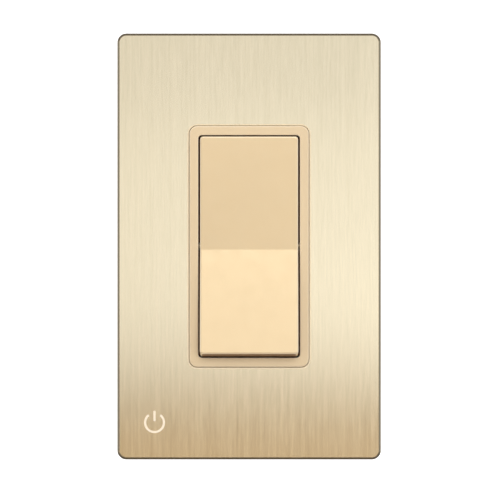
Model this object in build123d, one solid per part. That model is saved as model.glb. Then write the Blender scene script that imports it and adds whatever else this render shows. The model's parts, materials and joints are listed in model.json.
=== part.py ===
from build123d import *

import os
from math import cos, hypot, radians, sin, sqrt

# Single-pole decorator rocker wall switch with its screwless wall plate, in millimetres.
# +Z is up, +X is to the right seen from the room, and -Y points into the room.
# The origin is the centre of the wall plate's rear rim, on the surface of the wall (y = 0).
# The switch stands as it does when the upper half of the paddle has been pressed.

# Decorator opening and wall plate.
OPENING_W, OPENING_H, OPENING_R = 33.3, 66.8, 2.3
PLATE_W, PLATE_H, PLATE_R = 72.8, 117.7, 2.5
PLATE_FRONT = -6.6
SHEET = 0.5  # thickness of the brushed metal sheet
SHEET_BACK = -5.0  # rear edge of the sheet's turned-down skirt
EDGE_CHAMFER, OPENING_CHAMFER = 0.65, 0.3
SHELL_WALL = 1.7
SHELL_INSET = 0.1  # the plastic skirt sits this far inside the sheet's edge
SHELL_FACE = 1.3
COLLAR_T, COLLAR_BACK = 1.2, -4.0
SNAP_GAP = 0.05

# Adapter plate behind the cover.
ADAPTER_W, ADAPTER_H, ADAPTER_R = 68.2, 113.1, 2.0
ADAPTER_T = 2.0
ADAPTER_RIM = 1.6
RIM_BACK = -0.2

# The switch itself is laid out from the strap's rear face, which stands this far in front of the wall.
STRAP_SEAT = -0.1

# Mounting strap.
STRAP_T = 1.2
STRAP_FRONT = -STRAP_T
STRAP_W, STRAP_LENGTH, STRAP_END_W = 35.0, 106.4, 20.0
STRAP_WINDOW_W, STRAP_WINDOW_H = 29.2, 63.0
EAR_W, EAR_H, EAR_X, EAR_Z = 7.6, 12.4, 15.1, 46.6
BOX_SCREW_Z = 83.34 / 2
PLATE_SCREW_Z = 96.8 / 2
SLOT_LENGTH, SLOT_WIDTH = 8.4, 4.2

# Bezel frame round the paddle.
BEZEL_W, BEZEL_H, BEZEL_R = 32.9, 66.4, 2.1
BEZEL_FRONT = -7.1
BEZEL_LIP_BACK = -5.1
WINDOW_W, WINDOW_H, WINDOW_R = 28.0, 61.4, 0.9
CAVITY_W, CAVITY_H = 29.4, 62.8
FLANGE_W, FLANGE_H, FLANGE_R = 35.0, 75.6, 3.0
BEZEL_FLANGE_FRONT = -3.0

# Paddle. HALF_TRAVEL is its tilt each side of level, in degrees.
HALF_TRAVEL = 4.0
PIVOT_Y = -2.5
FACE_FROM_PIVOT = 4.8
PADDLE_REACH = 30.3  # along the upper flat, from abreast of the pivot to the end
PADDLE_END_R = hypot(FACE_FROM_PIVOT, PADDLE_REACH)
VALLEY_Z = -0.85  # height of the line where the flats meet, the upper flat being upright
LOWER_FACE_FROM_PIVOT = (
    FACE_FROM_PIVOT * cos(radians(2 * HALF_TRAVEL)) + VALLEY_Z * sin(radians(2 * HALF_TRAVEL))
)
PADDLE_W = 27.1
PADDLE_WALL = 1.5
PADDLE_REAR = -0.8  # rear edge of the skirt, from the pivot
VALLEY_R = 3.0
TRUNNION_R, TRUNNION_END = 1.1, 15.8
LUG_R = 2.1

# Actuator stem, plunger and spring, along y from the pivot with the paddle level.
STEM_R, STEM_BORE_R, STEM_END = 3.4, 2.0, 8.5
STEM_BORE_FLOOR = -1.4
PLUNGER_R, PLUNGER_BACK, PLUNGER_CENTRE = 1.9, 4.7, 9.5
SPRING_R, SPRING_WIRE, SPRING_TURNS = 1.5, 0.4, 7

# Rocking contact arm and its fulcrum.
ARM_TILT = 2 * HALF_TRAVEL
ARM_T, ARM_W, ARM_HALF = 0.8, 8.0, 12.5
ARM_FRONT = PIVOT_Y + PLUNGER_CENTRE + PLUNGER_R + 0.1
FULCRUM_Y = ARM_FRONT + ARM_T + 0.4
FULCRUM_R = 0.6
CONTACT_Z, CONTACT_R, CONTACT_T = -10.0, 1.8, 0.9
FIXED_CONTACT_Z, FIXED_CONTACT_TIP = -9.83, FULCRUM_Y + 2.03
LOAD_STRIP_FRONT = FIXED_CONTACT_TIP + 0.9
LOAD_STRIP_Z = (-12.7, -7.0)

# Rear housing.
CASE_W, CASE_H, CASE_R = 33.6, 65.0, 2.0
CASE_BACK = 25.0
CASE_FLANGE_BACK = 2.4
WELL_X, WELL_H, WELL_BACK = (-13.4, 7.5), 56.0, 19.0
RECESS_X, RECESS_Y, RECESS_Z = 10.5, (4.0, 22.0), 22.5
RIVET_X, RIVET_Z, RIVET_R = 12.5, 35.2, 1.1
INSULATOR_T = 0.5

# Side terminals, alike for line and load.
TERMINAL_Y, TERMINAL_Z = 12.0, 15.0
TERMINAL_X = (11.2, 12.4)
WIRE_GAP = 2.3
CLAMP_T = 1.8
SCREW_HEAD_R, SCREW_HEAD_T = 4.0, 2.3
TERMINAL_THREAD_R = 2.05
SCREW_REACH = 5.5  # from under the head to the tip

# Ground terminal, on a tab bent back from the strap.
GROUND_Y, GROUND_Z = 5.4, -43.2
GROUND_TAB_X = (-10.0, -8.8)

# Machine screws through the strap.
THREAD_R, THREAD_HOLE_R = 1.7, 1.75
NECK_R, NECK_BACK, BOX_SCREW_BACK = 1.4, 1.2, 22.0


def prism(outline, back, front):
    """An outline in X and Z, solid from y = back forwards to y = front."""
    return extrude(Plane.XZ.offset(-back) * outline, amount=back - front)


def block(x, y, z):
    """A box between the low and high values given for each axis."""
    sizes = [high - low for low, high in (x, y, z)]
    middle = [(high + low) / 2 for low, high in (x, y, z)]
    return Pos(*middle) * Box(*sizes)


def rod_x(radius, x, y, z):
    """A cylinder along X between the two values of x."""
    return Pos((x[0] + x[1]) / 2, y, z) * Rot(0, 90, 0) * Cylinder(radius, abs(x[1] - x[0]))


def rod_y(radius, y, x=0.0, z=0.0):
    """A cylinder along Y between the two values of y."""
    return Pos(x, (y[0] + y[1]) / 2, z) * Rot(90, 0, 0) * Cylinder(radius, abs(y[1] - y[0]))


def cone_y(front_r, back_r, y, x=0.0, z=0.0):
    """A cone along Y, from front_r at y[0] to back_r at y[1]."""
    middle = Pos(x, (y[0] + y[1]) / 2, z)
    return middle * Rot(90, 0, 0) * Cone(back_r, front_r, y[1] - y[0])


def turned(y, z, degrees):
    """A point in the side view, turned about the origin, positive carrying the top into the room."""
    a = radians(degrees)
    return y * cos(a) - z * sin(a), y * sin(a) + z * cos(a)


def tilted(part, y, degrees):
    """A part turned about the X axis through (y, z = 0), positive carrying its top into the room."""
    return Pos(0, y, 0) * Rot(degrees, 0, 0) * Pos(0, -y, 0) * part


def front_edges(part):
    """The edges of a part's foremost flat face."""
    return part.faces().sort_by(Axis.Y)[0].edges()


def both_ends(part):
    """A part and its mirror image below."""
    return [part, mirror(part, about=Plane.XY)]


# Wall plate


def cover_outline(inset):
    return RectangleRounded(PLATE_W - 2 * inset, PLATE_H - 2 * inset, PLATE_R - inset)


def opening_outline(grow=0.0):
    return RectangleRounded(OPENING_W + 2 * grow, OPENING_H + 2 * grow, OPENING_R + grow)


def brushed_face():
    """Thin metal sheet over the front of the cover, its rim chamfered and turned back as a skirt."""
    sheet = prism(cover_outline(0), SHEET_BACK, PLATE_FRONT)
    sheet = chamfer(front_edges(sheet), EDGE_CHAMFER)
    sheet -= prism(cover_outline(SHEET), SHEET_BACK, PLATE_FRONT + SHEET)
    sheet -= prism(opening_outline(), SHEET_BACK, PLATE_FRONT)
    rim = front_edges(sheet).filter_by_position(Axis.X, -OPENING_W / 2 - 1, OPENING_W / 2 + 1)
    rim = rim.filter_by_position(Axis.Z, -OPENING_H / 2 - 1, OPENING_H / 2 + 1)
    return chamfer(rim, OPENING_CHAMFER)


def cover_shell():
    """Moulded cover: tray, collar round the opening, ribs, snap ledges and a prying notch."""
    inside_front = PLATE_FRONT + SHEET + SHELL_FACE
    shell = prism(cover_outline(SHEET), SHEET_BACK, PLATE_FRONT + SHEET)
    shell += prism(cover_outline(SHELL_INSET), 0, SHEET_BACK)
    shell -= prism(cover_outline(SHELL_WALL), 0, inside_front)
    shell += prism(opening_outline(COLLAR_T), COLLAR_BACK, inside_front)
    rib_t, rib_depth = 0.9, 0.9
    rib_back = inside_front + rib_depth
    inner_w, inner_h = PLATE_W - 2 * SHELL_WALL, PLATE_H - 2 * SHELL_WALL
    for side in (-1, 1):
        for z in (-20, 0, 20):
            reach = sorted((side * OPENING_W / 2, side * inner_w / 2))
            shell += block(reach, (inside_front, rib_back), (z - rib_t / 2, z + rib_t / 2))
        for x in (-10, 10):
            reach = sorted((side * OPENING_H / 2, side * inner_h / 2))
            shell += block((x - rib_t / 2, x + rib_t / 2), (inside_front, rib_back), reach)
    for x, z, width, height in snap_places():
        ledge = Pos(x, z) * Rectangle(width, height)
        shell += prism(ledge, -0.9, -1.7)
    shell -= prism(opening_outline(), 0, PLATE_FRONT)
    notch_w, notch_h = 8.0, 1.0
    shell -= block((-notch_w / 2, notch_w / 2), (-notch_h, 0), (-PLATE_H / 2, -PLATE_H / 2 + SHELL_WALL))
    return shell


def snap_places():
    """Centre and size of each snap ledge on the cover's inner wall, as (x, z, width, height)."""
    depth = (PLATE_W - ADAPTER_W) / 2 - SHELL_WALL - SNAP_GAP - 0.25
    x = PLATE_W / 2 - SHELL_WALL - depth / 2
    z = PLATE_H / 2 - SHELL_WALL - depth / 2
    sides = [(side * x, level, depth, 7.0) for side in (-1, 1) for level in (-36, 0, 36)]
    ends = [(level, side * z, 9.0, depth) for side in (-1, 1) for level in (-17, 17)]
    return sides + ends


def adapter_plate():
    """Plate screwed to the strap, which the cover snaps onto."""
    outline = RectangleRounded(ADAPTER_W, ADAPTER_H, ADAPTER_R)
    back = STRAP_FRONT
    front = back - ADAPTER_T
    plate = prism(outline, RIM_BACK, front)
    inner = RectangleRounded(ADAPTER_W - 2 * ADAPTER_RIM, ADAPTER_H - 2 * ADAPTER_RIM, ADAPTER_R / 2)
    plate -= prism(inner, RIM_BACK, back)
    clearance = 0.4
    plate -= prism(
        RectangleRounded(FLANGE_W + 2 * clearance, FLANGE_H + 2 * clearance, FLANGE_R), back, front
    )
    for side in (-1, 1):
        plate -= rod_y(4.6, (front, back), z=side * BOX_SCREW_Z)
        plate -= cone_y(3.5, 2.0, (front, front + 1.5), z=side * PLATE_SCREW_Z)
        plate -= rod_y(2.0, (front, back), z=side * PLATE_SCREW_Z)
        for x in (-25, 25):
            plate -= prism(Pos(x, side * 26) * SlotOverall(22, 6, rotation=90), back, front)
            plate += block((x - 0.6, x + 0.6), (back, RIM_BACK), sorted((side * 8, side * 13)))
    bump = 0.25
    for x, z, width, height in snap_places():
        grow_x, grow_z = (bump, 0) if width < height else (0, bump)
        size_x = min(width, 2 * bump) if grow_x else width
        size_z = min(height, 2 * bump) if grow_z else height
        side_x = (1 if x > 0 else -1) * ADAPTER_W / 2 if grow_x else x
        side_z = (1 if z > 0 else -1) * ADAPTER_H / 2 if grow_z else z
        plate += prism(Pos(side_x, side_z) * Rectangle(size_x, size_z), -1.75, -2.6)
    return plate


# Strap and bezel


def mounting_strap():
    """Steel strap: two narrow rails beside the window, ends with break-off ears, and the ground tab."""
    half = STRAP_LENGTH / 2
    outline = RectangleRounded(STRAP_W, FLANGE_H, 2.5) + RectangleRounded(STRAP_END_W, STRAP_LENGTH, 2.0)
    for side in (-1, 1):
        for end in (-1, 1):
            outline += Pos(side * EAR_X, end * EAR_Z) * RectangleRounded(EAR_W, EAR_H, 3.2)
            outline += Pos(side * (EAR_X - 4), end * EAR_Z) * Rectangle(3.4, 4.0)
    strap = prism(outline, 0, STRAP_FRONT)
    strap -= prism(RectangleRounded(STRAP_WINDOW_W, STRAP_WINDOW_H, 1.5), 0, STRAP_FRONT)
    for end in (-1, 1):
        strap -= prism(Pos(0, end * BOX_SCREW_Z) * SlotOverall(SLOT_LENGTH, SLOT_WIDTH), 0, STRAP_FRONT)
        collar_back = 1.2
        strap += rod_y(2.7, (0, collar_back), z=end * PLATE_SCREW_Z)
        strap -= rod_y(THREAD_HOLE_R, (STRAP_FRONT, collar_back), z=end * PLATE_SCREW_Z)
        for side in (-1, 1):
            strap -= rod_y(RIVET_R, (STRAP_FRONT, 0), side * RIVET_X, end * RIVET_Z)
            score = Pos(side * (EAR_X - 4.3), end * EAR_Z) * Rectangle(0.5, 4.0)
            strap -= prism(score, STRAP_FRONT + 0.45, STRAP_FRONT)
        nick = Pos(0, end * half) * Circle(2.0)
        strap -= prism(nick, 0, STRAP_FRONT)
    tab_half = 4.5
    tab = block(GROUND_TAB_X, (STRAP_FRONT, 10.4), (GROUND_Z - tab_half, GROUND_Z + tab_half))
    corners = tab.edges().filter_by(Axis.X).group_by(Axis.Y)[-1]
    strap += fillet(corners, 2.5)
    strap -= rod_x(TERMINAL_THREAD_R, GROUND_TAB_X, GROUND_Y, GROUND_Z)
    return strap


def bezel_frame():
    """The moulded frame round the paddle, with rear-open pivot slots and a riveted flange."""
    frame = prism(RectangleRounded(BEZEL_W, BEZEL_H, BEZEL_R), STRAP_FRONT, BEZEL_FRONT)
    frame -= prism(RectangleRounded(WINDOW_W, WINDOW_H, WINDOW_R), STRAP_FRONT, BEZEL_FRONT)
    frame = fillet(front_edges(frame), 0.3)
    frame += prism(RectangleRounded(FLANGE_W, FLANGE_H, FLANGE_R), STRAP_FRONT, BEZEL_FLANGE_FRONT)
    frame -= prism(RectangleRounded(CAVITY_W, CAVITY_H, WINDOW_R), STRAP_FRONT, BEZEL_LIP_BACK)
    slot_r = TRUNNION_R + 0.08
    for side in (-1, 1):
        reach = sorted((side * CAVITY_W / 2 - side, side * (TRUNNION_END + 0.2)))
        frame -= rod_x(slot_r, reach, PIVOT_Y, 0)
        frame -= block(reach, (PIVOT_Y, STRAP_FRONT), (-slot_r, slot_r))
        for end in (-1, 1):
            frame -= rod_y(RIVET_R, (BEZEL_FLANGE_FRONT, STRAP_FRONT), side * RIVET_X, end * RIVET_Z)
    return frame


# Paddle and what rides in it


def paddle_side(inset, rear):
    """Side view about the pivot, paddle level: flats meeting in a valley, ends struck from the pivot."""
    travel = radians(2 * HALF_TRAVEL)
    end = PADDLE_END_R - inset
    upper = FACE_FROM_PIVOT - inset
    lower = LOWER_FACE_FROM_PIVOT - inset
    valley_z = (lower - upper * cos(travel)) / sin(travel)
    top_tip = turned(-upper, sqrt(end**2 - upper**2), HALF_TRAVEL)
    valley = turned(-upper, valley_z, HALF_TRAVEL)
    low_tip = turned(-lower, -sqrt(end**2 - lower**2), -HALF_TRAVEL)
    rear_z = sqrt(end**2 - rear**2)
    front = FilletPolyline(top_tip, valley, low_tip, radius=VALLEY_R + inset)
    low_end = RadiusArc(low_tip, (rear, -rear_z), -end)
    back = Line((rear, -rear_z), (rear, rear_z))
    top_end = RadiusArc((rear, rear_z), top_tip, -end)
    return make_face(Curve() + [front, low_end, back, top_end])


def rocker_paddle():
    """Hollow paddle with softened edges, inner ribs, and trunnions on lugs behind its side walls."""
    side_view = Plane.YZ
    body = extrude(side_view * paddle_side(0, PADDLE_REAR), amount=PADDLE_W / 2, both=True)
    upright = body.edges().filter_by(
        lambda e: abs(abs(e.center().Z) - PADDLE_REACH) < 1 and abs(e.center().X) > 1
    )
    body = fillet(upright, 0.9)
    rear_face = body.faces().sort_by(Axis.Y)[-1]
    front_rim = [
        e
        for e in body.edges()
        if e not in rear_face.edges() and on_front_rim(e)
    ]
    body = fillet(front_rim, 0.45)
    hollow = extrude(
        side_view * paddle_side(PADDLE_WALL, PADDLE_REAR), amount=PADDLE_W / 2 - PADDLE_WALL, both=True
    )
    body -= hollow
    rib = extrude(side_view * paddle_side(PADDLE_WALL, PADDLE_REAR - 1.0), amount=0.45, both=True)
    for x in (-7.5, 7.5):
        body += (Pos(x, 0, 0) * rib) & hollow
    for z in (-20, -11, 11, 20):
        body += block(
            (-PADDLE_W / 2 + 1, PADDLE_W / 2 - 1), (-9, PADDLE_REAR - 1.0), (z - 0.45, z + 0.45)
        ) & hollow
    for side in (-1, 1):
        inner, outer = side * (PADDLE_W / 2 - PADDLE_WALL), side * PADDLE_W / 2
        lug = rod_x(LUG_R, sorted((inner, outer)), 0, 0)
        lug += block(sorted((inner, outer)), (PADDLE_REAR, 0), (-LUG_R, LUG_R))
        body += lug
        body += rod_x(TRUNNION_R, sorted((inner, side * TRUNNION_END)), 0, 0)
    return tilted(Pos(0, PIVOT_Y, 0) * body, PIVOT_Y, -HALF_TRAVEL)


def on_front_rim(edge):
    """Is this edge on the outline of the paddle's front, and not the line where its flats blend?"""
    centre = edge.center()
    past_side = abs(centre.X) > PADDLE_W / 2 - 0.5
    past_end = abs(centre.Z) > PADDLE_REACH - 1.5
    return centre.Y < -FACE_FROM_PIVOT + 0.1 and (past_side or past_end)


def actuator_stem():
    """Nylon stem clipped under the paddle's valley, bored for the spring and plunger."""
    pad_back = PADDLE_WALL + 1.6 - FACE_FROM_PIVOT
    stem = prism(RectangleRounded(13.4, 18.0, 1.0), pad_back, -FACE_FROM_PIVOT)
    for width, height in ((13.2, 1.2), (1.2, 15.2)):
        stem += prism(Rectangle(width, height), pad_back + 2.2, pad_back)
    stem += rod_y(STEM_R, (pad_back, STEM_END))
    mouth = stem.edges().filter_by(GeomType.CIRCLE).group_by(Axis.Y)[-1]
    stem = chamfer(mouth, 0.4)
    stem -= rod_y(STEM_BORE_R, (STEM_BORE_FLOOR, STEM_END))
    under_wall = extrude(Plane.YZ * paddle_side(PADDLE_WALL, STEM_END), amount=PADDLE_W / 2, both=True)
    return tilted(Pos(0, PIVOT_Y, 0) * (stem & under_wall), PIVOT_Y, -HALF_TRAVEL)


def plunger():
    """Round-nosed pin that the spring drives against the contact arm."""
    pin = rod_y(PLUNGER_R, (PLUNGER_BACK, PLUNGER_CENTRE))
    pin += Pos(0, PLUNGER_CENTRE, 0) * Sphere(PLUNGER_R)
    return tilted(Pos(0, PIVOT_Y, 0) * pin, PIVOT_Y, -HALF_TRAVEL)


def plunger_spring():
    """Compression spring between the stem's bore floor and the plunger."""
    length = PLUNGER_BACK - STEM_BORE_FLOOR - SPRING_WIRE
    path = Helix(pitch=length / SPRING_TURNS, height=length, radius=SPRING_R)
    section = Plane(origin=path @ 0, z_dir=path % 0) * Circle(SPRING_WIRE / 2)
    coil = sweep(section, path=path, is_frenet=True)
    start = STEM_BORE_FLOOR + SPRING_WIRE / 2 + 0.01
    coil = Pos(0, PIVOT_Y + start, 0) * Rot(-90, 0, 0) * coil
    return tilted(coil, PIVOT_Y, -HALF_TRAVEL)


# Contacts


def contact_arm():
    """Rocking copper arm with a groove for the fulcrum and guide ears either side of it."""
    bar = prism(RectangleRounded(ARM_W, 2 * ARM_HALF, 2.0), ARM_FRONT + ARM_T, ARM_FRONT)
    for side in (-1, 1):
        ear = sorted((side * ARM_W / 2, side * (ARM_W / 2 - 0.7)))
        bar += block(ear, (ARM_FRONT + ARM_T, ARM_FRONT + 3.2), (-2.2, 2.2))
    bar -= rod_x(FULCRUM_R + 0.05, (-ARM_W / 2, ARM_W / 2), FULCRUM_Y, 0)
    bar -= rod_y(0.9, (ARM_FRONT, ARM_FRONT + ARM_T), z=CONTACT_Z)
    return tilted(bar, FULCRUM_Y, ARM_TILT)


def moving_contact():
    """Silver rivet through the lower end of the arm."""
    back = ARM_FRONT + ARM_T
    rivet = rod_y(CONTACT_R, (back, back + CONTACT_T), z=CONTACT_Z)
    rivet = fillet(rivet.edges().group_by(Axis.Y)[-1], 0.3)
    rivet += rod_y(0.9, (ARM_FRONT, back), z=CONTACT_Z)
    rivet += rod_y(1.3, (ARM_FRONT - 0.4, ARM_FRONT), z=CONTACT_Z)
    return tilted(rivet, FULCRUM_Y, ARM_TILT)


def fixed_contact():
    """Domed silver rivet on the load strip, closed against the arm's contact."""
    dome_r = 6.25
    sphere = Pos(0, FIXED_CONTACT_TIP + dome_r, FIXED_CONTACT_Z) * Sphere(dome_r)
    head = rod_y(2.2, (FIXED_CONTACT_TIP - 0.1, LOAD_STRIP_FRONT), z=FIXED_CONTACT_Z) & sphere
    tail = rod_y(1.0, (LOAD_STRIP_FRONT, LOAD_STRIP_FRONT + 1.0), z=FIXED_CONTACT_Z)
    button = rod_y(1.5, (LOAD_STRIP_FRONT + 1.0, LOAD_STRIP_FRONT + 1.4), z=FIXED_CONTACT_Z)
    return head + tail + button


def terminal_plate(low_z, high_z, thread_z):
    """The upright plate of a side terminal, tapped for its screw."""
    plate = block(TERMINAL_X, (6.5, 17.5), (low_z, high_z))
    plate = fillet(plate.edges().filter_by(Axis.X), 1.0)
    return plate - rod_x(TERMINAL_THREAD_R, TERMINAL_X, TERMINAL_Y, thread_z)


def line_terminal():
    """Brass line terminal, whose inner end carries the arm's fulcrum."""
    strip_y = (16.5, 17.5)
    fulcrum = block((-3.0, 3.0), (FULCRUM_Y, strip_y[0]), (-FULCRUM_R, FULCRUM_R))
    fulcrum += rod_x(FULCRUM_R, (-3.0, 3.0), FULCRUM_Y, 0)
    strip = block((-3.5, TERMINAL_X[1]), strip_y, (-3.5, 3.5))
    return fulcrum + strip + terminal_plate(-3.5, TERMINAL_Z + 5.5, TERMINAL_Z)


def load_terminal():
    """Brass load terminal, whose inner end carries the fixed contact."""
    strip_y = (LOAD_STRIP_FRONT, LOAD_STRIP_FRONT + 1.0)
    strip = block((-3.5, TERMINAL_X[1]), strip_y, LOAD_STRIP_Z)
    strip -= rod_y(1.0, strip_y, z=FIXED_CONTACT_Z)
    return strip + terminal_plate(-TERMINAL_Z - 5.5, LOAD_STRIP_Z[1], -TERMINAL_Z)


# Housing


def rear_housing():
    """Moulded case: flange, mechanism well, side recess for the terminals and rear wire entries."""
    case = prism(RectangleRounded(CASE_W, CASE_H, CASE_R), CASE_BACK, 0)
    case = chamfer(case.faces().sort_by(Axis.Y)[-1].edges(), 1.0)
    case += prism(RectangleRounded(FLANGE_W, FLANGE_H, FLANGE_R), CASE_FLANGE_BACK, 0)
    case -= prism(RectangleRounded(31.0, 61.0, 1.0), INSULATOR_T, 0)
    case -= block(WELL_X, (0, WELL_BACK), (-WELL_H / 2, WELL_H / 2))
    recess = block((RECESS_X, CASE_W), RECESS_Y, (-RECESS_Z, RECESS_Z))
    barrier = block((RECESS_X, CASE_W / 2), RECESS_Y, (-6.4, -4.6))
    case -= recess - barrier
    case -= block((WELL_X[1], RECESS_X), (16.4, 17.6), (-3.6, 3.6))
    case -= block(
        (WELL_X[1], RECESS_X),
        (LOAD_STRIP_FRONT - 0.1, LOAD_STRIP_FRONT + 1.1),
        (LOAD_STRIP_Z[0] - 0.1, LOAD_STRIP_Z[1] + 0.1),
    )
    for level in (-TERMINAL_Z, TERMINAL_Z):
        case -= rod_x(TERMINAL_THREAD_R + 0.35, (8.4, RECESS_X), TERMINAL_Y, level)
        for side in (-1, 1):
            z = level + side * 4.1
            case -= block((12.5, 15.9), (RECESS_Y[1], CASE_BACK), (z - 1.7, z + 1.7))
    case += block((-3.0, 3.0), (FULCRUM_Y + 1.5, WELL_BACK), (9.0, 11.0))
    for x in (-RIVET_X, RIVET_X):
        for z in (-RIVET_Z, RIVET_Z):
            case -= rod_y(RIVET_R, (0, CASE_FLANGE_BACK), x, z)
    groove = 0.6
    case -= block((-12.0, -10.0), (CASE_BACK - groove, CASE_BACK), (-14.0, 14.0))
    case -= prism(RectangleRounded(14.0, 44.0, 1.5), CASE_BACK, CASE_BACK - 0.5)
    for z in (-26.5, 26.5):
        case -= rod_y(2.6, (CASE_BACK - 0.4, CASE_BACK), z=z)
    left = -CASE_W / 2
    for z in (-24.0, -8.0, 8.0, 24.0):
        case -= block((left, left + 0.9), (6.0, 20.0), (z - 5.5, z + 5.5))
    return case


def insulator_sheet():
    """Fibre sheet between the strap and the live parts, cut away round the stem."""
    sheet = prism(RectangleRounded(30.8, 60.8, 0.9), INSULATOR_T, 0)
    return sheet - prism(RectangleRounded(14.0, 18.0, 2.0), INSULATOR_T, 0)


def housing_rivets():
    """Four rivets that close the bezel, strap and housing flanges."""
    rivets = []
    head_r, head_t = 1.9, 0.6
    for x in (-RIVET_X, RIVET_X):
        for z in (-RIVET_Z, RIVET_Z):
            rivet = rod_y(RIVET_R, (BEZEL_FLANGE_FRONT, CASE_FLANGE_BACK), x, z)
            rivet += cone_y(1.3, head_r, (BEZEL_FLANGE_FRONT - head_t, BEZEL_FLANGE_FRONT), x, z)
            rivet += rod_y(head_r, (CASE_FLANGE_BACK, CASE_FLANGE_BACK + head_t), x, z)
            rivet -= rod_y(0.7, (CASE_FLANGE_BACK - 1.0, CASE_FLANGE_BACK + head_t), x, z)
            rivets.append(rivet)
    return Part() + rivets


# Screws


def cross_slot(length, width, depth, y):
    """A cross-shaped driver recess sunk from y, along Y."""
    return prism(Rectangle(length, width) + Rectangle(width, length), y + depth, y)


def box_screws():
    """Screws that fasten the strap to the wall box, necked so that their retainers hold them."""
    head_r, head_t = 3.5, 1.9
    top = STRAP_FRONT - head_t
    screw = fillet(front_edges(rod_y(head_r, (top, STRAP_FRONT))), 0.8)
    screw -= cross_slot(4.2, 0.9, 1.2, top)
    screw += rod_y(NECK_R, (STRAP_FRONT, NECK_BACK))
    thread = rod_y(THREAD_R, (NECK_BACK, BOX_SCREW_BACK))
    screw += chamfer(thread.edges().group_by(Axis.Y)[-1], 0.6)
    return Part() + both_ends(Pos(0, 0, BOX_SCREW_Z) * screw)


def screw_retainers():
    """Fibre washers that keep the box screws in the strap's slots."""
    washer = rod_y(3.7, (0, 0.6)) - rod_y(NECK_R + 0.05, (0, 0.6))
    return Part() + both_ends(Pos(0, 0, BOX_SCREW_Z) * washer)


def adapter_screws():
    """Countersunk screws that hold the adapter plate to the strap."""
    top = STRAP_FRONT - ADAPTER_T
    crown, head_r = 0.5, 3.3
    screw = fillet(front_edges(rod_y(head_r, (top - crown, top))), 0.45)
    screw += cone_y(head_r, THREAD_R, (top, top + 1.4))
    screw -= cross_slot(4.0, 0.9, 1.3, top - crown)
    thread = rod_y(THREAD_R, (top + 1.4, 5.0))
    screw += chamfer(thread.edges().group_by(Axis.Y)[-1], 0.5)
    return Part() + both_ends(Pos(0, 0, PLATE_SCREW_Z) * screw)


def terminal_screw(seat, inward, y, z):
    """Binding screw along X whose head bears at x = seat; inward is -1 or 1, the way its thread points."""
    head = sorted((seat, seat - inward * SCREW_HEAD_T))
    screw = rod_x(SCREW_HEAD_R, head, 0, 0)
    outer = screw.edges().group_by(Axis.X)[0 if inward > 0 else -1]
    screw = fillet(outer, 0.7)
    outside = seat - inward * SCREW_HEAD_T
    slot = sorted((outside, outside + inward * 1.2))
    screw -= block(slot, (-SCREW_HEAD_R, SCREW_HEAD_R), (-0.5, 0.5))
    screw -= block(slot, (-0.5, 0.5), (-2.3, 2.3))
    thread = rod_x(TERMINAL_THREAD_R - 0.05, sorted((seat, seat + inward * SCREW_REACH)), 0, 0)
    tip = thread.edges().filter_by(GeomType.CIRCLE).group_by(Axis.X)[-1 if inward > 0 else 0]
    screw += chamfer(tip, 0.5)
    return Pos(0, y, z) * screw


def clamp_plate(z):
    """Square pressure plate under a side terminal's screw head, serrated where it grips the wire."""
    low = TERMINAL_X[1] + WIRE_GAP
    plate = block((low, low + CLAMP_T), (TERMINAL_Y - 4.4, TERMINAL_Y + 4.4), (z - 5.6, z + 5.6))
    plate = chamfer(plate.edges().group_by(Axis.X)[-1], 0.5)
    plate -= rod_x(TERMINAL_THREAD_R + 0.15, (low, low + CLAMP_T), TERMINAL_Y, z)
    for side in (-1, 1):
        for row in (-3.2, -1.6, 0, 1.6, 3.2):
            y, at = TERMINAL_Y + row, z + side * 4.1
            plate -= block((low, low + 0.3), (y - 0.3, y + 0.3), (at - 1.2, at + 1.2))
    return plate


def ground_washer():
    """Cupped washer under the ground screw's head."""
    seat = GROUND_TAB_X[0] - WIRE_GAP
    cup = rod_x(4.6, (seat - 1.2, seat), GROUND_Y, GROUND_Z)
    cup = fillet(cup.edges().group_by(Axis.X)[0], 0.5)
    cup -= rod_x(3.6, (seat - 0.4, seat), GROUND_Y, GROUND_Z)
    return cup - rod_x(TERMINAL_THREAD_R + 0.15, (seat - 1.2, seat), GROUND_Y, GROUND_Z)


def cover_parts():
    return {"cover_shell": cover_shell(), "brushed_face": brushed_face()}


def switch_parts():
    clamp_top = TERMINAL_X[1] + WIRE_GAP + CLAMP_T
    ground_seat = GROUND_TAB_X[0] - WIRE_GAP - 1.2
    return {
        "adapter_plate": adapter_plate(),
        "adapter_screws": adapter_screws(),
        "mounting_strap": mounting_strap(),
        "box_screws": box_screws(),
        "screw_retainers": screw_retainers(),
        "bezel_frame": bezel_frame(),
        "housing_rivets": housing_rivets(),
        "rear_housing": rear_housing(),
        "insulator_sheet": insulator_sheet(),
        "rocker_paddle": rocker_paddle(),
        "actuator_stem": actuator_stem(),
        "plunger": plunger(),
        "plunger_spring": plunger_spring(),
        "contact_arm": contact_arm(),
        "moving_contact": moving_contact(),
        "fixed_contact": fixed_contact(),
        "line_terminal": line_terminal(),
        "load_terminal": load_terminal(),
        "line_clamp_plate": clamp_plate(TERMINAL_Z),
        "load_clamp_plate": clamp_plate(-TERMINAL_Z),
        "line_screw": terminal_screw(clamp_top, -1, TERMINAL_Y, TERMINAL_Z),
        "load_screw": terminal_screw(clamp_top, -1, TERMINAL_Y, -TERMINAL_Z),
        "ground_washer": ground_washer(),
        "ground_screw": terminal_screw(ground_seat, 1, GROUND_Y, GROUND_Z),
    }


parts = cover_parts()
for name, part in switch_parts().items():
    parts[name] = Pos(0, STRAP_SEAT, 0) * part

os.makedirs("parts", exist_ok=True)
for name, part in parts.items():
    export_step(part, f"parts/{name}.step")
    print(name, round(part.volume), "mm3")
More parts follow.
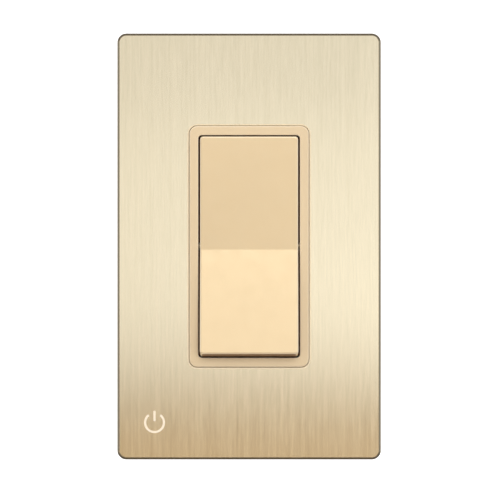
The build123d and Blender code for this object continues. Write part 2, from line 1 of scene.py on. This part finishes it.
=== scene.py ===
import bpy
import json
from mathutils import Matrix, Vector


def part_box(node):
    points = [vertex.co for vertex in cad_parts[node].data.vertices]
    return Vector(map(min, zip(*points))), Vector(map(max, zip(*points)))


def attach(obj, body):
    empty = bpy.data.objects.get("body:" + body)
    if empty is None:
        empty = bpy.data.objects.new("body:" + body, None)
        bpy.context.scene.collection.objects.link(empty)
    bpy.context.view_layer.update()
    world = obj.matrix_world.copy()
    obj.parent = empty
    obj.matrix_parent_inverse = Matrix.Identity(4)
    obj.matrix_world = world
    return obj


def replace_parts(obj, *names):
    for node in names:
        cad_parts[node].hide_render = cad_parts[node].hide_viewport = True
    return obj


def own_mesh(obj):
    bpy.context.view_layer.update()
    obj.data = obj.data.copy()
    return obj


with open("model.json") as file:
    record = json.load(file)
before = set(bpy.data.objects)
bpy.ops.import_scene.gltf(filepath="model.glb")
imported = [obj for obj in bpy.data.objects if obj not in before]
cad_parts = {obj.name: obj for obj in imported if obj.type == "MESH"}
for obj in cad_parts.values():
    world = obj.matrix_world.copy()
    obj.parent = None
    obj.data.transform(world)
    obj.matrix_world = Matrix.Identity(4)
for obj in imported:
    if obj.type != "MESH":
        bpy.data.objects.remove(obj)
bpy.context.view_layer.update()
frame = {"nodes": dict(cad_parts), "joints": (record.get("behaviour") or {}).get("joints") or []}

import json
import math

import bmesh
import bpy
from mathutils import Vector

# Rocker wall switch. Lengths are in metres; -Y faces the room and +Z is up.
MM = 0.001
nodes = frame["nodes"]
joints = {joint["name"]: joint for joint in frame["joints"]}

# Camera: straight on, with the plate a little above the middle of the picture.
CAMERA_DISTANCE = 0.70
PICTURE_WIDTH = 0.1380  # width of the view at the plate's edge
CAMERA_X, CAMERA_Z = 0.25 * MM, -0.97 * MM

# Studio: strength of the even light from all round, and height of the floor.
ROOM_LIGHT = 0.95
FLOOR_Z = -0.60

# Beyond these, a face of the sheet that is turned away belongs to its outer chamfer, which is painted dark as
# a painted reflection.
OUTER_HALF_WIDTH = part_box("brushed_face")[1].x - 2.0 * MM
OUTER_HALF_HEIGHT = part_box("brushed_face")[1].z - 2.0 * MM

# Geometry's pointiness is 0.5 on a flat surface; edges are worn from a little above that.
BARELY_POINTED = 0.52

# Edges that turn by more than this many radians are drawn crisp on new pieces.
CRISP_EDGE = 0.6

# Screw threads and the plunger's spring.
THREAD_PITCH = 0.794 * MM
THREAD_DEPTH = 0.30 * MM
MACHINE_THREAD_R, TERMINAL_THREAD_R = 1.7 * MM, 2.0 * MM
BOX_SCREW_HEAD_R, ADAPTER_SCREW_HEAD_R = 3.5 * MM, 3.3 * MM
BOX_THREAD_START, ADAPTER_THREAD_START = 1.1 * MM, -1.9 * MM
THREAD_STEPS = 24  # sections in each turn of a thread
TIP_CHAMFER = 0.6 * MM
SPRING_R, SPRING_WIRE = 1.5 * MM, 0.4 * MM
OPEN_TURNS, CLOSED_TURNS = 5.5, 1.1  # closed turns at each end
CLOSED_PITCH = 1.04 * SPRING_WIRE  # closed turns lie almost against each other
COIL_STEPS, WIRE_SIDES = 32, 10

# Small printed symbol on the plate's lower left: an open ring with a bar in its gap.
MARK_X, MARK_Z = -26.1 * MM, -48.6 * MM
MARK_R, MARK_STROKE, MARK_THICKNESS = 2.6 * MM, 0.62 * MM, 0.04 * MM
MARK_GAP = math.radians(38)  # half of the opening at the top
BAR_TOP, BAR_FOOT = 1.15 * MARK_R, 0.25 * MARK_R

# Within these, upright walls belong to the gap between paddle and frame, and are painted dark brown as
# painted shade.
WINDOW_REACH_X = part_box("rocker_paddle")[1].x - 0.5 * MM
WINDOW_REACH_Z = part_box("rocker_paddle")[1].z + 1.2 * MM


# ---------------------------------------------------------------- materials


class Finish:
    """A Principled material, with short calls for the nodes that feed it."""

    def __init__(self, name, metallic=0.0, roughness=0.5, **sockets):
        self.material = bpy.data.materials.new(name)
        self.material.use_nodes = True
        self.tree = self.material.node_tree
        self.shader = self.tree.nodes["Principled BSDF"]
        self.shader.inputs["Metallic"].default_value = metallic
        self.shader.inputs["Roughness"].default_value = roughness
        for socket, value in sockets.items():
            self.shader.inputs[socket.replace("_", " ")].default_value = value
        self.place = self.tree.nodes.new("ShaderNodeTexCoord").outputs["Object"]

    def node(self, kind, inputs=(), **settings):
        made = self.tree.nodes.new(kind)
        for name, value in settings.items():
            setattr(made, name, value)
        for socket, value in inputs:
            if isinstance(value, bpy.types.NodeSocket):
                self.tree.links.new(value, made.inputs[socket])
            else:
                made.inputs[socket].default_value = value
        return made

    def stretched(self, x, y, z):
        """Object coordinates multiplied along each axis, in features per metre."""
        scale = [("Vector", self.place), ("Scale", (x, y, z))]
        return self.node("ShaderNodeMapping", scale).outputs["Vector"]

    def noise(self, x, y, z, detail=2.0, roughness=0.5, distortion=0.0):
        settings = [
            ("Vector", self.stretched(x, y, z)),
            ("Scale", 1.0),
            ("Detail", detail),
            ("Roughness", roughness),
            ("Distortion", distortion),
        ]
        return self.node("ShaderNodeTexNoise", settings).outputs["Fac"]

    def cells(self, per_metre, output="Distance"):
        settings = [("Vector", self.stretched(per_metre, per_metre, per_metre)), ("Scale", 1.0)]
        return self.node("ShaderNodeTexVoronoi", settings).outputs[output]

    def ramp(self, fac, *stops):
        """Colours by position along fac, each stop being (position, (r, g, b))."""
        made = self.node("ShaderNodeValToRGB", [("Fac", fac)])
        marks = made.color_ramp.elements
        while len(marks) < len(stops):
            marks.new(1.0)
        for mark, (position, colour) in zip(marks, stops):
            mark.position = position
            mark.color = (*colour, 1.0)
        return made.outputs["Color"]

    def spread(self, fac, low, high, low_in=0.3, high_in=0.7):
        """fac taken from its usual range onto the range low to high."""
        settings = [
            ("Value", fac), ("From Min", low_in), ("From Max", high_in), ("To Min", low), ("To Max", high)
        ]
        return self.node("ShaderNodeMapRange", settings).outputs["Result"]

    def math(self, operation, a, b=0.0, c=0.0):
        values = [(0, a), (1, b), (2, c)]
        return self.node("ShaderNodeMath", values, operation=operation).outputs["Value"]

    def mix(self, fac, a, b):
        """Colour a where fac is 0, and b where it is 1."""
        values = [("Factor", fac), (6, a), (7, b)]
        made = self.node("ShaderNodeMix", data_type="RGBA")
        for socket, value in values:
            if isinstance(value, bpy.types.NodeSocket):
                self.tree.links.new(value, made.inputs[socket])
            else:
                made.inputs[socket].default_value = (*value, 1.0) if isinstance(value, tuple) else value
        return made.outputs[2]

    def bump(self, height, depth, strength):
        """Relief of the given depth in metres."""
        settings = [("Height", height), ("Distance", depth), ("Strength", strength)]
        return self.node("ShaderNodeBump", settings).outputs["Normal"]

    def feed(self, **links):
        """Links outputs to the shader's inputs, and gives the finished material."""
        for socket, value in links.items():
            self.tree.links.new(value, self.shader.inputs[socket.replace("_", " ")])
        return self.material

    def size_of(self, vector, letter):
        """One component of a vector, without its sign."""
        return self.math("ABSOLUTE", self.part_of(vector, letter))

    def part_of(self, vector, letter):
        return self.node("ShaderNodeSeparateXYZ", [("Vector", vector)]).outputs[letter]

    def facing(self):
        """The surface's own direction, in object space."""
        return self.node("ShaderNodeTexCoord").outputs["Normal"]

    def worn_edges(self, width):
        """0 on flat surfaces, rising to 1 where the surface turns sharply outwards."""
        pointed = self.node("ShaderNodeNewGeometry").outputs["Pointiness"]
        return self.spread(pointed, 0.0, 1.0, BARELY_POINTED, BARELY_POINTED + width)


def brushed_champagne():
    """Anodised sheet, brushed up and down, with a painted dark reflection on the chamfer outside, darker at
    top and bottom than at the sides, and a painted highlight on the cut round the opening.
    """
    m = Finish("brushed_champagne", metallic=1.0, roughness=0.21, Anisotropic=0.90)
    # Features per metre: far fewer up and down, along the brushing, than across it.
    fine = m.noise(1700, 1700, 130, detail=2.0, roughness=0.6)
    long = m.noise(1000, 1000, 10, detail=2.0)
    cloud = m.noise(30, 30, 16, detail=1.0)
    streaks = m.math("MULTIPLY_ADD", long, 0.45, m.math("MULTIPLY", fine, 0.55))
    tone = m.ramp(streaks, (0.30, (0.750, 0.668, 0.482)), (0.70, (0.872, 0.784, 0.585)))
    tone = m.mix(m.spread(cloud, 0.0, 0.25), tone, (0.865, 0.782, 0.588))
    forwards = m.math("MULTIPLY", m.part_of(m.facing(), "Y"), -1.0)
    turned_away = m.spread(forwards, 1.0, 0.0, 0.86, 0.97)
    at_side = m.math("GREATER_THAN", m.size_of(m.place, "X"), OUTER_HALF_WIDTH)
    at_end = m.math("GREATER_THAN", m.size_of(m.place, "Z"), OUTER_HALF_HEIGHT)
    outer = m.math("MAXIMUM", at_side, at_end)
    # Painted reflection: the outer chamfer and sides are painted dark, standing in for dark surroundings
    # mirrored in them, darker at top and bottom than at the sides.
    painted_rim_reflection = m.mix(at_end, (0.270, 0.230, 0.165), (0.150, 0.120, 0.080))
    tone = m.mix(m.math("MULTIPLY", turned_away, outer), tone, painted_rim_reflection)
    # Painted highlight: the cut round the opening is painted near white and made less metallic, so it shows
    # as a bright line.
    cut = m.math("MULTIPLY", turned_away, m.math("SUBTRACT", 1.0, outer))
    tone = m.mix(cut, tone, (1.0, 0.93, 0.78))
    metal = m.math("MULTIPLY_ADD", cut, -0.8, 1.0)
    rough = m.spread(streaks, 0.18, 0.24)
    across = m.node("ShaderNodeCombineXYZ", [("X", 1.0), ("Y", 0.0), ("Z", 0.0)]).outputs["Vector"]
    relief = m.bump(streaks, 0.012 * MM, 0.5)
    return m.feed(Base_Color=tone, Metallic=metal, Roughness=rough, Normal=relief, Tangent=across)


def satin_gold(name, base, metallic):
    """Gold-lacquered plastic: pearly, with a fine orange-peel, a pale painted highlight on edges and on faces
    turned sideways, up or down, and painted dark shade on the upright walls of the gap round the paddle.
    """
    m = Finish(name, metallic=metallic, roughness=0.42, Coat_Weight=0.3, Coat_Roughness=0.30)
    flake = m.cells(9000)
    cloud = m.noise(60, 60, 60, detail=2.0)
    deep = tuple(channel * 0.95 for channel in base)
    pale = tuple(channel * 1.06 for channel in base)
    tone = m.ramp(flake, (0.0, base), (0.8, deep))
    tone = m.mix(m.spread(cloud, 0.0, 0.3), tone, pale)
    facing = m.facing()
    slope = m.math("MAXIMUM", m.size_of(facing, "X"), m.size_of(facing, "Z"))
    # Painted highlight: faces turned sideways, up or down are painted pale, as if catching light on the
    # edges.
    painted_edge_highlight = m.spread(slope, 0.0, 0.85, 0.22, 0.5)
    tone = m.mix(painted_edge_highlight, tone, (1.0, 0.90, 0.72))
    # Painted shade: upright walls within the window, in the gap between paddle and frame, are painted dark
    # brown.
    within_x = m.math("LESS_THAN", m.size_of(m.place, "X"), WINDOW_REACH_X)
    within_z = m.math("LESS_THAN", m.size_of(m.place, "Z"), WINDOW_REACH_Z)
    inside = m.math("MULTIPLY", within_x, within_z)
    painted_gap_shade = m.math("MULTIPLY", inside, m.spread(slope, 0.0, 1.0, 0.90, 0.97))
    tone = m.mix(painted_gap_shade, tone, (0.26, 0.140, 0.065))
    peel = m.noise(1400, 1400, 1400, detail=1.0)
    rough = m.spread(m.noise(300, 300, 300), 0.38, 0.46)
    return m.feed(Base_Color=tone, Roughness=rough, Normal=m.bump(peel, 0.006 * MM, 0.5))


def moulded_plastic(name, light, dark, roughness=0.5, grain=0.010):
    """Moulded thermoplastic: spark-eroded grain, soft flow marks, and rubbed edges."""
    m = Finish(name, roughness=roughness)
    cloud = m.noise(90, 90, 160, detail=3.0)
    speck = m.noise(4200, 4200, 4200, detail=2.0)
    tone = m.ramp(cloud, (0.32, dark), (0.68, light))
    pale = tuple(min(1.0, channel * 1.25 + 0.02) for channel in light)
    tone = m.mix(m.math("MULTIPLY", m.worn_edges(0.12), 0.5), tone, pale)
    rough = m.spread(speck, roughness - 0.06, roughness + 0.10)
    return m.feed(Base_Color=tone, Roughness=rough, Normal=m.bump(speck, grain * MM, 0.6))


def galvanised_steel():
    """Zinc-coated sheet with a small spangle, drawing lines and dull patches."""
    m = Finish("galvanised_steel", metallic=1.0, roughness=0.38)
    spangle = m.cells(520, output="Color")
    grey = m.node("ShaderNodeRGBToBW", [("Color", spangle)]).outputs["Val"]
    dull = m.noise(130, 130, 130, detail=4.0, roughness=0.6)
    tone = m.ramp(grey, (0.15, (0.40, 0.41, 0.42)), (0.85, (0.60, 0.61, 0.62)))
    tone = m.mix(m.spread(dull, 0.0, 0.35, 0.45, 0.75), tone, (0.33, 0.33, 0.32))
    lines = m.noise(4000, 4000, 120, detail=2.0)
    rough = m.spread(dull, 0.28, 0.50)
    return m.feed(Base_Color=tone, Roughness=rough, Normal=m.bump(lines, 0.006 * MM, 0.6))


def plated_metal(name, light, dark, roughness=0.3, lines=(2500, 2500, 2500)):
    """Turned, rolled or plated metal: fine tool lines, tarnish in patches, brighter edges."""
    m = Finish(name, metallic=1.0, roughness=roughness)
    tarnish = m.noise(420, 420, 420, detail=4.0, roughness=0.6)
    tone = m.ramp(tarnish, (0.35, dark), (0.62, light))
    bright = tuple(min(1.0, channel * 1.2) for channel in light)
    tone = m.mix(m.math("MULTIPLY", m.worn_edges(0.10), 0.6), tone, bright)
    tooling = m.noise(*lines, detail=2.0)
    rough = m.spread(tarnish, roughness + 0.12, roughness - 0.06)
    return m.feed(Base_Color=tone, Roughness=rough, Normal=m.bump(tooling, 0.005 * MM, 0.6))


def vulcanised_fibre():
    """Pressed fibre sheet: matted strands and mottled dye."""
    m = Finish("vulcanised_fibre", roughness=0.75)
    strand = m.noise(2600, 500, 900, detail=4.0, distortion=1.5)
    mottle = m.noise(300, 300, 300, detail=3.0)
    tone = m.ramp(strand, (0.3, (0.20, 0.045, 0.028)), (0.7, (0.36, 0.10, 0.06)))
    tone = m.mix(m.spread(mottle, 0.0, 0.4), tone, (0.42, 0.15, 0.09))
    return m.feed(Base_Color=tone, Normal=m.bump(strand, 0.02 * MM, 0.7))


def nylon():
    """Natural nylon: milky, with light through its edges."""
    m = Finish("nylon", roughness=0.38, Subsurface_Weight=0.25, Subsurface_Scale=0.6 * MM)
    cloud = m.noise(350, 350, 350, detail=3.0)
    tone = m.ramp(cloud, (0.3, (0.74, 0.72, 0.64)), (0.7, (0.84, 0.83, 0.77)))
    peel = m.noise(1800, 1800, 1800, detail=1.0)
    rough = m.spread(cloud, 0.32, 0.46)
    return m.feed(Base_Color=tone, Roughness=rough, Normal=m.bump(peel, 0.006 * MM, 0.5))


def pale_print():
    """Ink of the small mark on the plate."""
    m = Finish("pale_print", roughness=0.45)
    grain = m.noise(5000, 5000, 5000, detail=2.0)
    tone = m.ramp(grain, (0.3, (0.88, 0.80, 0.66)), (0.7, (0.96, 0.89, 0.76)))
    return m.feed(Base_Color=tone, Normal=m.bump(grain, 0.004 * MM, 0.5))


def assign(material, *names):
    for name in names:
        slots = nodes[name].data.materials
        slots.clear()
        slots.append(material)


zinc = plated_metal("zinc_plate", (0.62, 0.62, 0.58), (0.44, 0.43, 0.38), 0.26)
brass = plated_metal("stamped_brass", (0.72, 0.50, 0.19), (0.52, 0.34, 0.12), 0.30, (3000, 3000, 300))
brass_screw = plated_metal("brass_screw", (0.74, 0.54, 0.22), (0.55, 0.38, 0.14), 0.24)
green = plated_metal("green_dye", (0.045, 0.30, 0.105), (0.022, 0.17, 0.055), 0.32)
silver = plated_metal("silver_contact", (0.86, 0.84, 0.80), (0.66, 0.62, 0.56), 0.22)
copper = plated_metal("rolled_copper", (0.78, 0.37, 0.22), (0.56, 0.24, 0.14), 0.28, (3000, 3000, 260))
spring_steel = plated_metal("spring_steel", (0.50, 0.49, 0.47), (0.33, 0.32, 0.30), 0.25)
gold = satin_gold("satin_gold", (0.740, 0.612, 0.403), 0.5)
frame_gold = satin_gold("satin_gold_frame", (0.725, 0.605, 0.415), 0.10)
fibre = vulcanised_fibre()
cover_plastic = moulded_plastic("cover_plastic", (0.60, 0.50, 0.34), (0.56, 0.46, 0.31))
dark_plastic = moulded_plastic("dark_plastic", (0.030, 0.030, 0.033), (0.022, 0.022, 0.024), 0.55, 0.014)
case_plastic = moulded_plastic("case_plastic", (0.50, 0.47, 0.39), (0.455, 0.425, 0.35), 0.45, 0.012)

assign(brushed_champagne(), "brushed_face")
assign(gold, "rocker_paddle")
assign(frame_gold, "bezel_frame")
assign(cover_plastic, "cover_shell")
assign(dark_plastic, "adapter_plate")
assign(case_plastic, "rear_housing")
assign(galvanised_steel(), "mounting_strap")
assign(zinc, "adapter_screws", "box_screws", "housing_rivets")
assign(fibre, "screw_retainers", "insulator_sheet")
assign(nylon(), "actuator_stem", "plunger")
assign(spring_steel, "plunger_spring")
assign(copper, "contact_arm")
assign(silver, "moving_contact", "fixed_contact")
assign(brass, "line_terminal", "load_terminal", "line_clamp_plate", "load_clamp_plate")
assign(brass_screw, "line_screw", "load_screw")
assign(green, "ground_washer", "ground_screw")


# ---------------------------------------------------------------- screw threads, spring and mark


def axes_about(axis):
    """Two unit vectors across the axis, and the axis itself, in right-handed order."""
    along = Vector(axis).normalized()
    across = along.orthogonal().normalized()
    return across, along.cross(across), along


def skin(mesh, rings):
    """Closed tube through rings of points, all of the same count."""
    loops = [[mesh.verts.new(point) for point in ring] for ring in rings]
    sides = len(loops[0])
    for here, ahead in zip(loops, loops[1:]):
        for i in range(sides):
            j = (i + 1) % sides
            mesh.faces.new((here[i], here[j], ahead[j], ahead[i]))
    mesh.faces.new(reversed(loops[0]))
    mesh.faces.new(loops[-1])


def shown(mesh, name, finish):
    """The mesh as a smooth-shaded object in the scene."""
    data = bpy.data.meshes.new(name)
    mesh.to_mesh(data)
    mesh.free()
    for face in data.polygons:
        face.use_smooth = True
    data.materials.append(finish)
    made = bpy.data.objects.new(name, data)
    bpy.context.scene.collection.objects.link(made)
    return made


def riding(mesh, name, body, finish):
    """The mesh as a piece of the switch that rides on a body, with its sharp edges kept crisp."""
    bmesh.ops.recalc_face_normals(mesh, faces=mesh.faces)
    piece = shown(mesh, name, finish)
    piece.data.set_sharp_from_angle(angle=CRISP_EDGE)
    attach(piece, body)
    return piece


def thread_rings(foot, axis, length, root, crest):
    """Sections of a right-hand helical ridge from the foot along the axis, fading out at both ends."""
    across, up, along = axes_about(axis)
    margin = 0.40 * THREAD_PITCH
    steps = int((length - 2 * margin) / THREAD_PITCH * THREAD_STEPS)
    flank, flat = 0.45 * THREAD_PITCH, 0.06 * THREAD_PITCH
    sunk = root - 0.05 * MM
    rings = []
    for step in range(steps + 1):
        turn = step / THREAD_STEPS
        angle = math.tau * turn
        outward = across * math.cos(angle) + up * math.sin(angle)
        middle = foot + along * (margin + THREAD_PITCH * turn)
        fade = min(1.0, 2 * turn, 2 * (steps - step) / THREAD_STEPS)
        height = root + (crest - root) * fade
        profile = ((sunk, -flank), (height, -flat), (height, flat), (sunk, flank))
        rings.append([middle + outward * radius + along * shift for radius, shift in profile])
    return rings


def threaded(node, body, finish, axis, middles, start, tip, crest):
    """The CAD screws of a node, with each plain shank cut down to its root and a thread wound on it.
    The middles are points on the screws' axes; start and tip are distances along the axis from the origin."""
    axis = Vector(axis)
    root = crest - THREAD_DEPTH
    slack = 0.02 * MM
    mesh = bmesh.new()
    mesh.from_mesh(nodes[node].data)
    for vert in mesh.verts:
        offset = min((vert.co - middle for middle in middles), key=lambda gap: gap.length)
        radial = offset - axis * offset.dot(axis)
        on_shank = start - slack <= vert.co.dot(axis) <= tip + slack
        if on_shank and root < radial.length <= crest + slack:
            vert.co += radial * (root / radial.length - 1)
    bmesh.ops.remove_doubles(mesh, verts=mesh.verts, dist=0.002 * MM)
    for middle in middles:
        foot = middle + axis * (start - middle.dot(axis))
        skin(mesh, thread_rings(foot, axis, tip - start - TIP_CHAMFER, root, crest))
    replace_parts(riding(mesh, node + "_threaded", body, finish), node)


def plate_screws(node, head_radius, start):
    """Both machine screws of a node, which stand along +Y above and below the middle."""
    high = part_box(node)[1]
    level = high.z - head_radius
    middles = [Vector((0, 0, level)), Vector((0, 0, -level))]
    threaded(node, "switch_body", zinc, (0, 1, 0), middles, start, high.y, MACHINE_THREAD_R)


def terminal_screw(name, under_head, finish):
    """A side screw, whose thread starts at the face of the node under its head."""
    axis = Vector(joints[name + "_turn"]["axis"])
    middle = Vector(joints[name + "_turn"]["pos_m"])
    node = name + "_screw"
    start = min(corner.dot(axis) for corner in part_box(under_head))
    tip = max(corner.dot(axis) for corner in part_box(node))
    threaded(node, node, finish, axis, [middle], start, tip, TERMINAL_THREAD_R)


def coil_spring():
    """The plunger's compression spring, with its end turns closed."""
    pivot = Vector(joints["rocker_tilt"]["pos_m"])
    across, up, along = axes_about([-part for part in joints["plunger_press"]["axis"]])
    reach = [(vert.co - pivot).dot(along) for vert in nodes["plunger_spring"].data.vertices]
    front, back = min(reach), max(reach)
    open_pitch = (back - front - SPRING_WIRE - 2 * CLOSED_TURNS * CLOSED_PITCH) / OPEN_TURNS
    total = OPEN_TURNS + 2 * CLOSED_TURNS
    rings = []
    for step in range(round(total * COIL_STEPS) + 1):
        turn = step / COIL_STEPS
        closed = min(turn, CLOSED_TURNS) + max(0.0, turn - CLOSED_TURNS - OPEN_TURNS)
        level = front + SPRING_WIRE / 2 + closed * CLOSED_PITCH + (turn - closed) * open_pitch
        angle = math.tau * turn
        outward = across * math.cos(angle) + up * math.sin(angle)
        middle = pivot + along * level + outward * SPRING_R
        ring = []
        for side in range(WIRE_SIDES):
            round_wire = math.tau * side / WIRE_SIDES
            across_wire = outward * math.cos(round_wire) + along * math.sin(round_wire)
            ring.append(middle + across_wire * SPRING_WIRE / 2)
        rings.append(ring)
    mesh = bmesh.new()
    skin(mesh, rings)
    piece = riding(mesh, "plunger_coil", "rocker", spring_steel)
    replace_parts(piece, "plunger_spring")
    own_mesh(piece)


def from_top(angle):
    """Unit vector on the plate's face, turned clockwise from straight up."""
    return Vector((math.sin(angle), 0, math.cos(angle)))


def printed_mark():
    """An open ring with a bar in its gap, standing a hair proud of the plate."""
    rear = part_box("brushed_face")[0].y
    front = rear - MARK_THICKNESS
    centre = Vector((MARK_X, 0, MARK_Z))
    inner, outer = MARK_R - 0.5 * MARK_STROKE, MARK_R + 0.5 * MARK_STROKE
    section = ((inner, rear), (outer, rear), (outer, front), (inner, front))
    ring_steps, end_steps = 48, 8
    mesh = bmesh.new()
    rings = []
    for step in range(ring_steps + 1):
        outward = from_top(MARK_GAP + (math.tau - 2 * MARK_GAP) * step / ring_steps)
        rings.append([centre + outward * radius + Vector((0, depth, 0)) for radius, depth in section])
    skin(mesh, rings)
    outline = []
    for end, turn in ((BAR_TOP, 0.0), (BAR_FOOT, math.pi)):
        for step in range(end_steps + 1):
            rounded = from_top(turn - math.pi / 2 + math.pi * step / end_steps)
            outline.append(centre + Vector((0, 0, end)) + rounded * MARK_STROKE / 2)
    skin(mesh, [[point + Vector((0, depth, 0)) for point in outline] for depth in (rear, front)])
    riding(mesh, "printed_mark", "cover", pale_print())


plate_screws("box_screws", BOX_SCREW_HEAD_R, BOX_THREAD_START)
plate_screws("adapter_screws", ADAPTER_SCREW_HEAD_R, ADAPTER_THREAD_START)
terminal_screw("line", "line_clamp_plate", brass_screw)
terminal_screw("load", "load_clamp_plate", brass_screw)
terminal_screw("ground", "ground_washer", green)
coil_spring()
printed_mark()


# ---------------------------------------------------------------- studio


def area_light(name, place, target, width, height, power, glossy=True):
    """A rectangular lamp aimed at the target; without glossy it lights surfaces but leaves no reflection."""
    data = bpy.data.lights.new(name, "AREA")
    data.shape = "RECTANGLE"
    data.size, data.size_y = width, height
    data.energy = power
    lamp = bpy.data.objects.new(name, data)
    bpy.context.scene.collection.objects.link(lamp)
    lamp.location = place
    aim = Vector(target) - Vector(place)
    lamp.rotation_euler = aim.to_track_quat("-Z", "Y").to_euler()
    lamp.visible_camera = False
    lamp.visible_glossy = glossy


def surroundings():
    """Even pale light from all round, as in a white room."""
    world = bpy.data.worlds.new("white_room")
    bpy.context.scene.world = world
    world.use_nodes = True
    shade = world.node_tree.nodes["Background"]
    shade.inputs["Color"].default_value = (1.0, 1.0, 1.0, 1.0)
    shade.inputs["Strength"].default_value = ROOM_LIGHT


def card(name, width, height, place, target, bow, finish, camera_sees=True):
    """A sheet of studio card facing the target, its ends bent towards it by the given depth."""
    steps = 16
    mesh = bmesh.new()
    rows = []
    for row in range(steps + 1):
        v = row / steps - 0.5
        rise = bow * 4 * v * v
        across = [(column / steps - 0.5) * width for column in range(steps + 1)]
        rows.append([mesh.verts.new((x, v * height, rise)) for x in across])
    for near, far in zip(rows, rows[1:]):
        for column in range(steps):
            mesh.faces.new((near[column], near[column + 1], far[column + 1], far[column]))
    piece = shown(mesh, name, finish)
    piece.location = place
    aim = Vector(target) - Vector(place)
    piece.rotation_euler = aim.to_track_quat("Z", "Y").to_euler()
    piece.visible_camera = camera_sees


def paper(name, light, dark, glow=0.0):
    """Matt paper with a soft mottle, which may glow a little."""
    m = Finish(name, roughness=0.85)
    grain = m.noise(40, 40, 40, detail=3.0)
    if glow:
        m.shader.inputs["Emission Color"].default_value = (1.0, 1.0, 1.0, 1.0)
        m.shader.inputs["Emission Strength"].default_value = glow
    return m.feed(Base_Color=m.ramp(grain, (0.3, dark), (0.7, light)))


def studio():
    """A white room with tinted cards for the metal to mirror; all lamps but rear_top are in front."""
    surroundings()
    pale = paper("floor_paper", (0.86, 0.86, 0.85), (0.85, 0.85, 0.84))
    white = paper("backdrop_paper", (0.92, 0.92, 0.92), (0.90, 0.90, 0.90), glow=0.6)
    warm = paper("warm_card", (0.395, 0.292, 0.178), (0.365, 0.268, 0.163))
    tan = paper("tan_card", (0.68, 0.54, 0.36), (0.64, 0.50, 0.33))
    cream = paper("cream_card", (0.78, 0.62, 0.40), (0.74, 0.59, 0.38))
    centre = (0, 0, 0)
    card("floor", 12.0, 12.0, (0, 0, FLOOR_Z), centre, 0.0, pale)
    card("backdrop", 1.0, 1.0, (0, 1.6, 0), centre, 0.05, white)
    card("bounce_card", 1.60, 1.42, (0, -0.79, -0.128), (0, -0.79, 0), 0.0, warm, camera_sees=False)
    card("side_card", 0.8, 1.2, (-0.75, -1.20, 0.15), centre, 0.05, tan, camera_sees=False)
    card("ceiling_card", 2.0, 1.1, (0.1, -1.0, 0.80), centre, 0.05, cream, camera_sees=False)
    area_light("key", (0.10, -0.75, 0.42), centre, 0.60, 0.22, 2.25)
    area_light("band", (0.35, -1.5, 0.02), centre, 1.5, 0.20, 0.20)
    area_light("low_right", (0.42, -1.2, -0.07), (0, 0, -0.04), 0.50, 0.12, 0.12)
    area_light("front_fill", (0, -1.0, -0.02), centre, 0.90, 0.18, 2.4, glossy=False)
    area_light("rear_top", (0.35, 0.75, 0.60), (0, 0.01, 0), 0.60, 0.50, 2.2)


def camera():
    """Level with the plate and straight in front of it."""
    data = bpy.data.cameras.new("camera")
    data.sensor_width = 36.0
    plate_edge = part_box("brushed_face")[0].y
    data.lens = data.sensor_width * (CAMERA_DISTANCE + plate_edge) / PICTURE_WIDTH
    data.clip_start, data.clip_end = 0.01, 20.0
    piece = bpy.data.objects.new("camera", data)
    bpy.context.scene.collection.objects.link(piece)
    piece.location = (CAMERA_X, -CAMERA_DISTANCE, CAMERA_Z)
    piece.rotation_euler = (math.pi / 2, 0, 0)
    bpy.context.scene.camera = piece


camera()
studio()
bpy.context.scene.view_settings.view_transform = "Standard"
